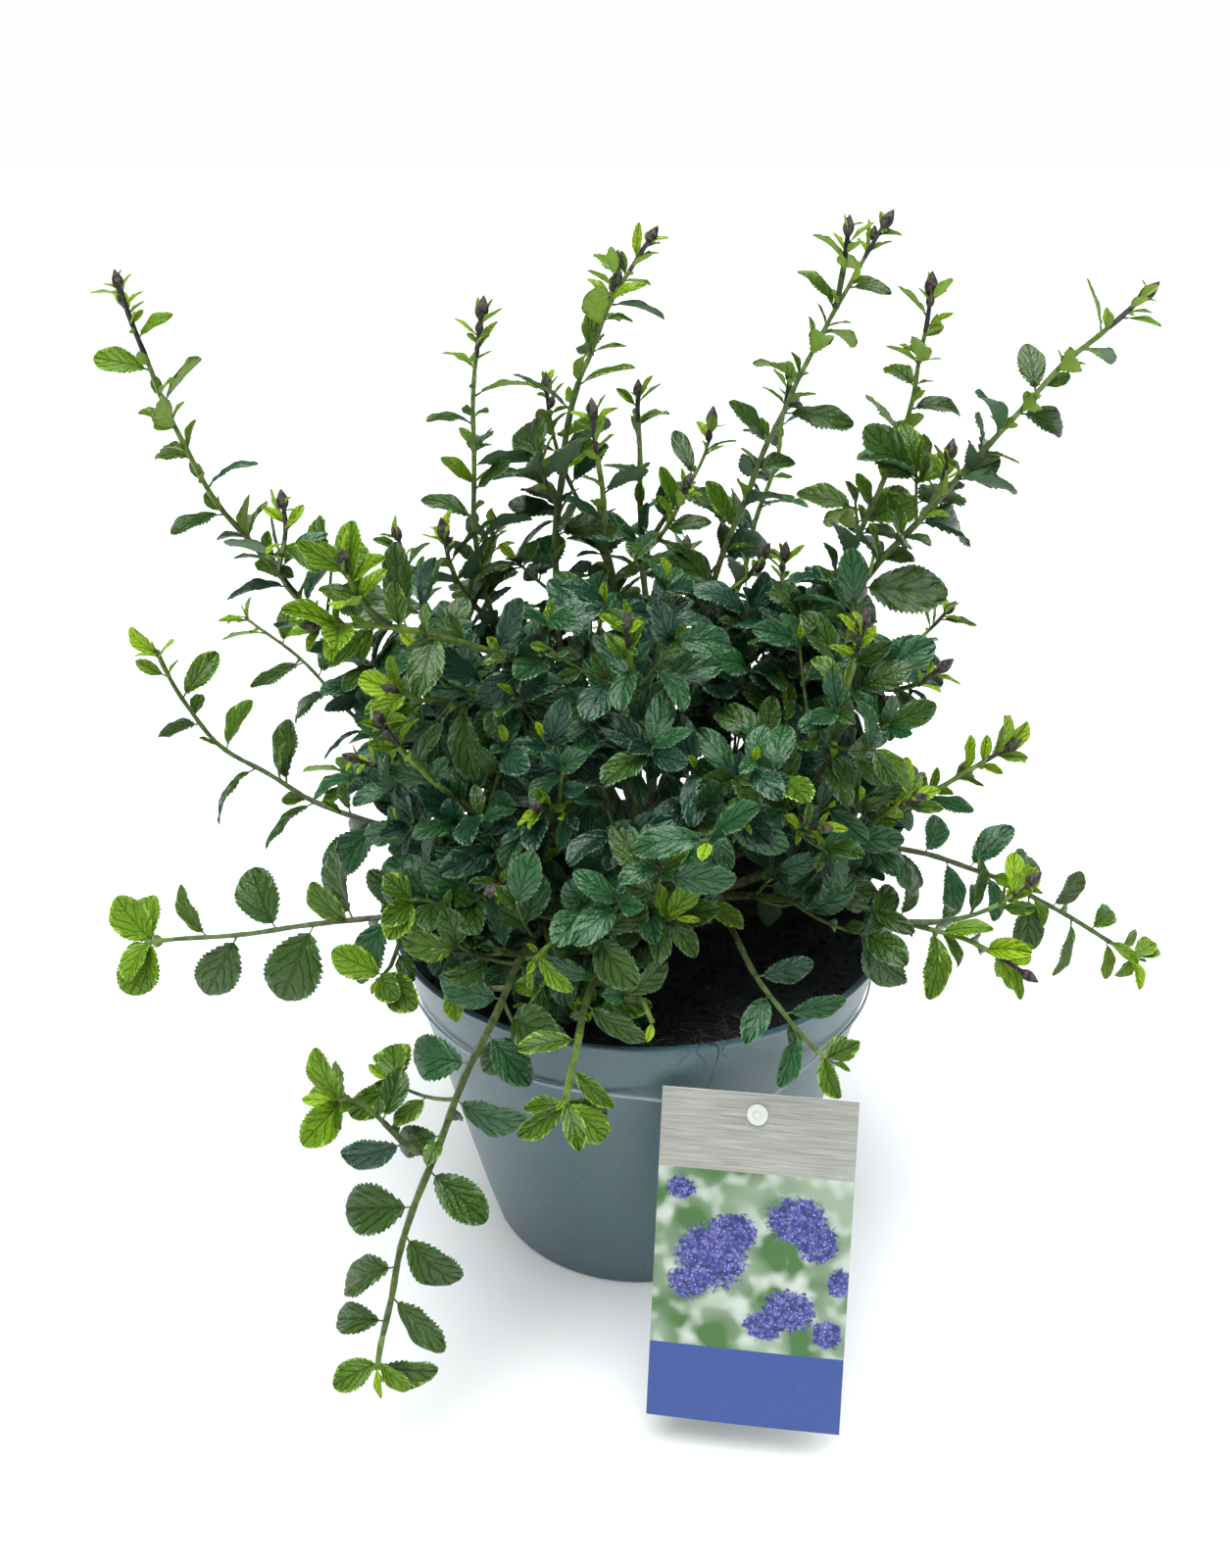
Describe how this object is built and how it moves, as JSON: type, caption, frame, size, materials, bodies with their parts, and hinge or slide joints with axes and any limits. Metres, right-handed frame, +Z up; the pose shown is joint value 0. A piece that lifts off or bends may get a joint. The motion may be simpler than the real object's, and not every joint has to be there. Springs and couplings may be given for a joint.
{
  "type": "potted california lilac shrub",
  "caption": "Low evergreen flowering shrub with arching and drooping leafy shoots, growing in a round tapered nursery pot with a hanging label card.",
  "frame": {"origin": "centre of the pot's flat underside", "axes": "+Z up, -Y to the plant's front where the label hangs, +X to the right seen from the front"},
  "size_m": [0.3904, 0.3242, 0.3868],
  "materials": {
    "pot": "smooth moulded blue-grey nursery pot plastic with a soft sheen",
    "compost": "moist near-black potting compost with fine root fibres",
    "card": "satin printed plastic label card",
    "button": "white moulded press-in button",
    "band": "pale translucent elastic strip",
    "bark": "thin grey-brown fissured bark",
    "bough": "ridged green to green-brown young wood",
    "foliage": "glossy dark bluish-green leathery leaves with yellow-green young tips"
  },
  "bodies": {
    "root": {"pot": "pot", "compost": "compost", "label_card": "card", "label_button": "button", "label_band": "band", "root_collar": "bark", "bough_upper_left": "bough", "bough_left": "bough", "bough_left_level": "bough", "bough_front_droop": "bough", "bough_front": "bough", "bough_front_right": "bough", "bough_right_front": "bough", "bough_far_right": "bough", "bough_right": "bough", "bough_right_inner": "bough", "bough_upper_right": "bough", "bough_upper_right_inner": "bough", "bough_top_right": "bough", "bough_top": "bough", "bough_top_left": "bough", "bough_centre_top": "bough", "bough_near_left": "bough", "bough_centre": "bough", "bough_low_left": "bough", "bough_back_top": "bough", "bough_back_right": "bough", "bough_back_right_low": "bough", "bough_back": "bough", "bough_back_droop": "bough", "bough_back_left_low": "bough", "bough_back_left": "bough", "bough_back_upper": "bough", "foliage_upper_left": "foliage", "foliage_left": "foliage", "foliage_left_level": "foliage", "foliage_front_droop": "foliage", "foliage_front": "foliage", "foliage_front_right": "foliage", "foliage_right_front": "foliage", "foliage_far_right": "foliage", "foliage_right": "foliage", "foliage_right_inner": "foliage", "foliage_upper_right": "foliage", "foliage_upper_right_inner": "foliage", "foliage_top_right": "foliage", "foliage_top": "foliage", "foliage_top_left": "foliage", "foliage_centre_top": "foliage", "foliage_near_left": "foliage", "foliage_centre": "foliage", "foliage_low_left": "foliage", "foliage_back_top": "foliage", "foliage_back_right": "foliage", "foliage_back_right_low": "foliage", "foliage_back": "foliage", "foliage_back_droop": "foliage", "foliage_back_left_low": "foliage", "foliage_back_left": "foliage", "foliage_back_upper": "foliage"}
  },
  "joints": []
}
